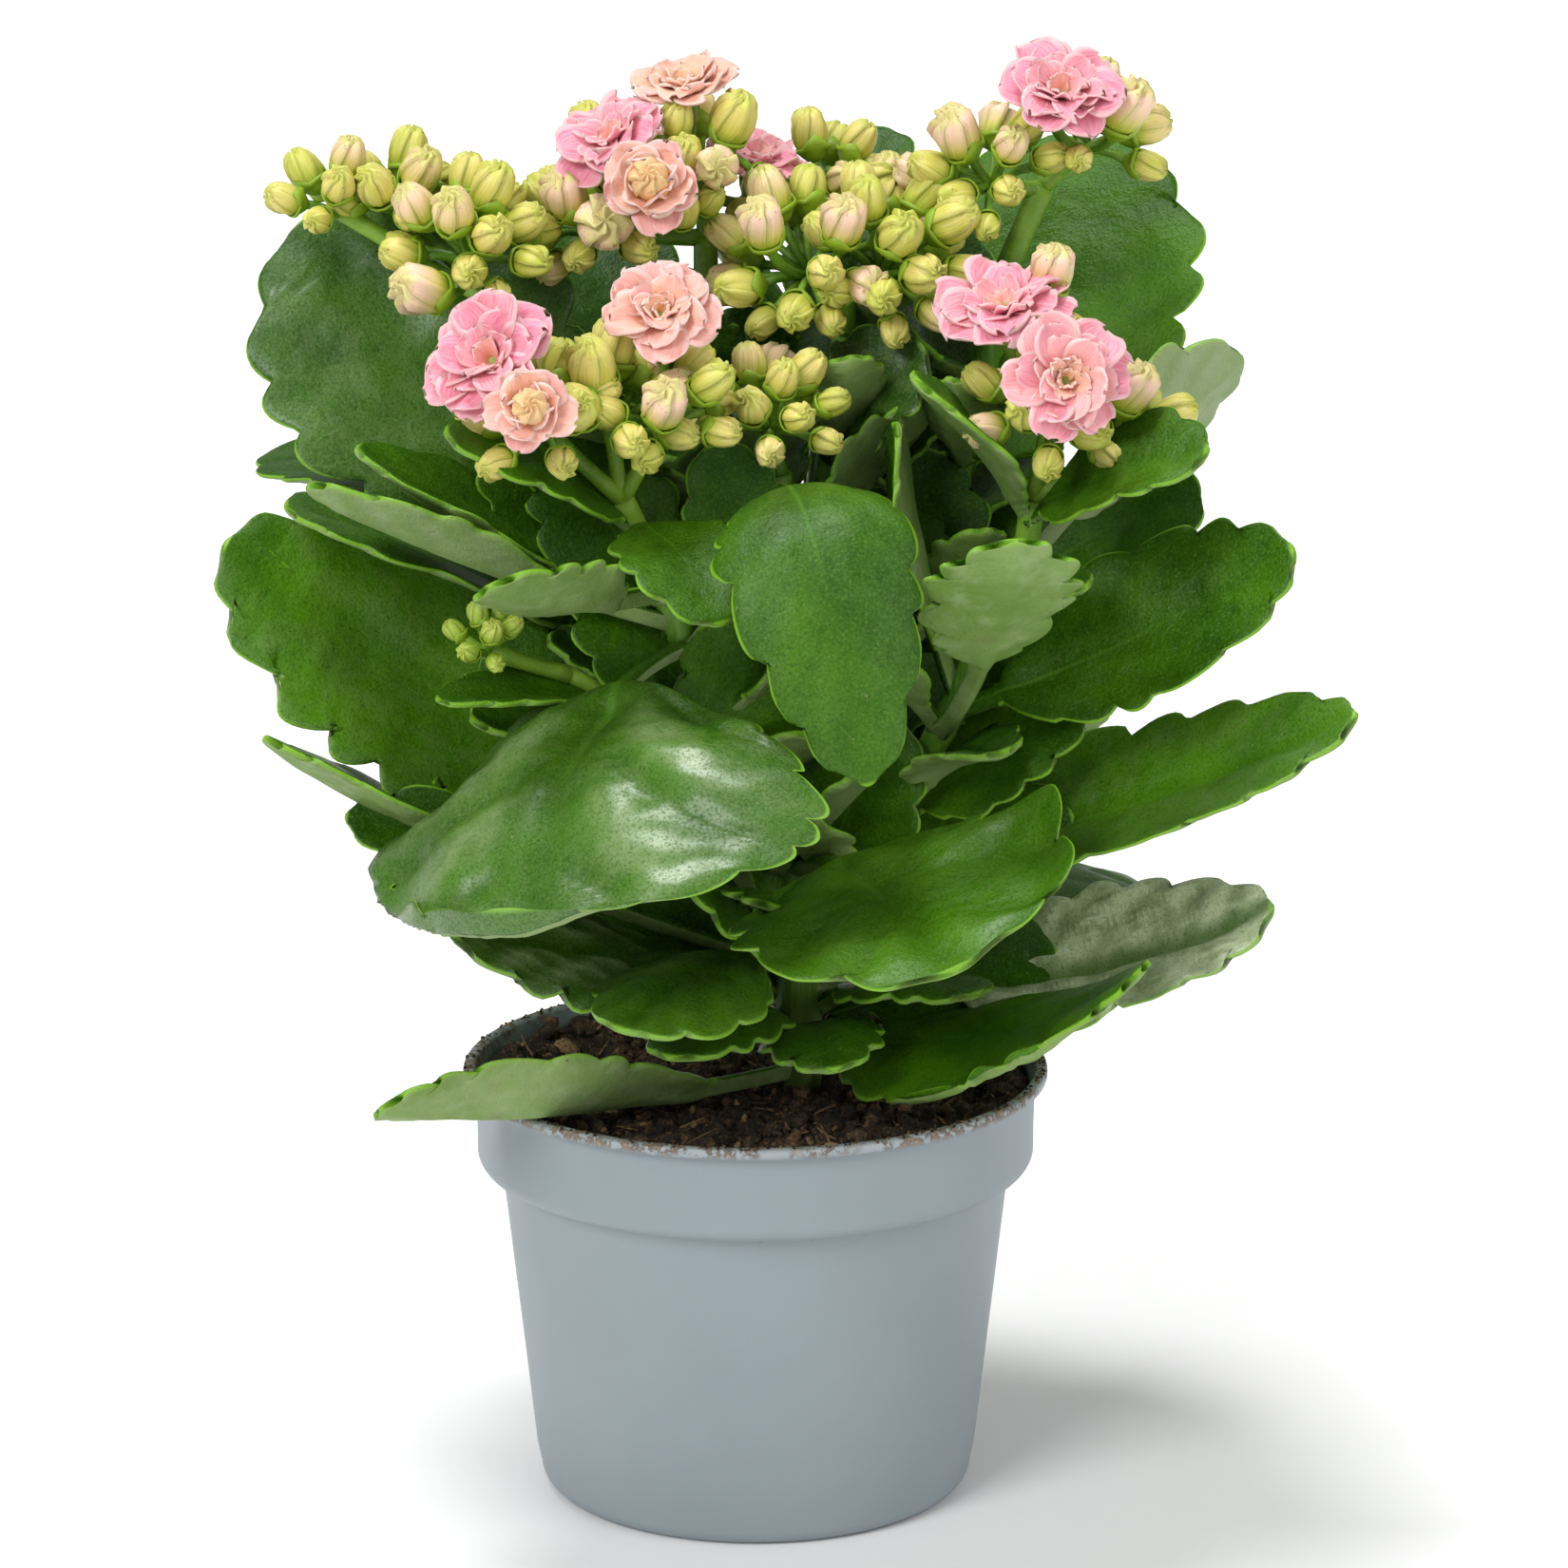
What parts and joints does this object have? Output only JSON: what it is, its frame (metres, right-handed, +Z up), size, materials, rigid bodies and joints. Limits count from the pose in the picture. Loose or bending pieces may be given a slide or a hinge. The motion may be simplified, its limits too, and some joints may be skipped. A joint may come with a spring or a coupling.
{
  "type": "potted flaming katy",
  "caption": "Free-standing potted kalanchoe with scalloped fleshy leaves and domed heads of buds and double pink flowers, in a round tapered nursery pot that rests on its flat base.",
  "frame": {"origin": "centre of the pot's flat underside", "axes": "+Z up along the pot's axis, -Y towards the front that the picture shows, +X to the right of that view"},
  "size_m": [0.2273, 0.1877, 0.2983],
  "materials": {
    "pot_plastic": "satin, moulded",
    "potting_soil": "rough, crumbly, fibrous",
    "stem_green": "smooth, slightly waxy",
    "leaf_green": "waxy, satin gloss with a fine grain",
    "bud_yellow_green": "smooth, matt wax",
    "petal_pink": "matt, finely streaked",
    "petal_peach": "matt, finely streaked"
  },
  "bodies": {
    "root": {"pot": "pot_plastic", "soil": "potting_soil", "stems": "stem_green", "leaf_front_1": "leaf_green", "leaf_front_2": "leaf_green", "leaf_front_3": "leaf_green", "leaf_front_4": "leaf_green", "leaf_front_5": "leaf_green", "leaf_front_6": "leaf_green", "leaf_front_7": "leaf_green", "leaf_right_1": "leaf_green", "leaf_right_2": "leaf_green", "leaf_right_3": "leaf_green", "leaf_right_4": "leaf_green", "leaf_right_5": "leaf_green", "leaf_right_6": "leaf_green", "leaf_right_7": "leaf_green", "leaf_right_8": "leaf_green", "leaf_left_1": "leaf_green", "leaf_left_2": "leaf_green", "leaf_left_3": "leaf_green", "leaf_left_4": "leaf_green", "leaf_left_5": "leaf_green", "leaf_left_6": "leaf_green", "leaf_left_7": "leaf_green", "leaf_left_8": "leaf_green", "leaf_left_9": "leaf_green", "leaf_inner_1": "leaf_green", "leaf_inner_2": "leaf_green", "leaf_inner_3": "leaf_green", "leaf_inner_4": "leaf_green", "leaf_inner_5": "leaf_green", "leaf_back_1": "leaf_green", "leaf_back_2": "leaf_green", "leaf_back_3": "leaf_green", "leaf_back_4": "leaf_green", "leaf_back_5": "leaf_green", "leaf_back_6": "leaf_green", "leaf_back_7": "leaf_green", "flower_head_1": "bud_yellow_green", "flower_head_2": "bud_yellow_green", "flower_head_3": "bud_yellow_green", "flower_head_4": "bud_yellow_green", "flower_head_5": "bud_yellow_green", "flower_head_6": "bud_yellow_green", "flower_head_7": "bud_yellow_green", "flower_head_8": "bud_yellow_green", "flower_head_9": "bud_yellow_green", "bloom_1": "petal_peach", "bloom_2": "petal_pink", "bloom_3": "petal_peach", "bloom_4": "petal_pink", "bloom_5": "petal_peach", "bloom_6": "petal_peach", "bloom_7": "petal_pink", "bloom_8": "petal_pink", "bloom_9": "petal_pink", "bloom_10": "petal_pink"}
  },
  "joints": []
}
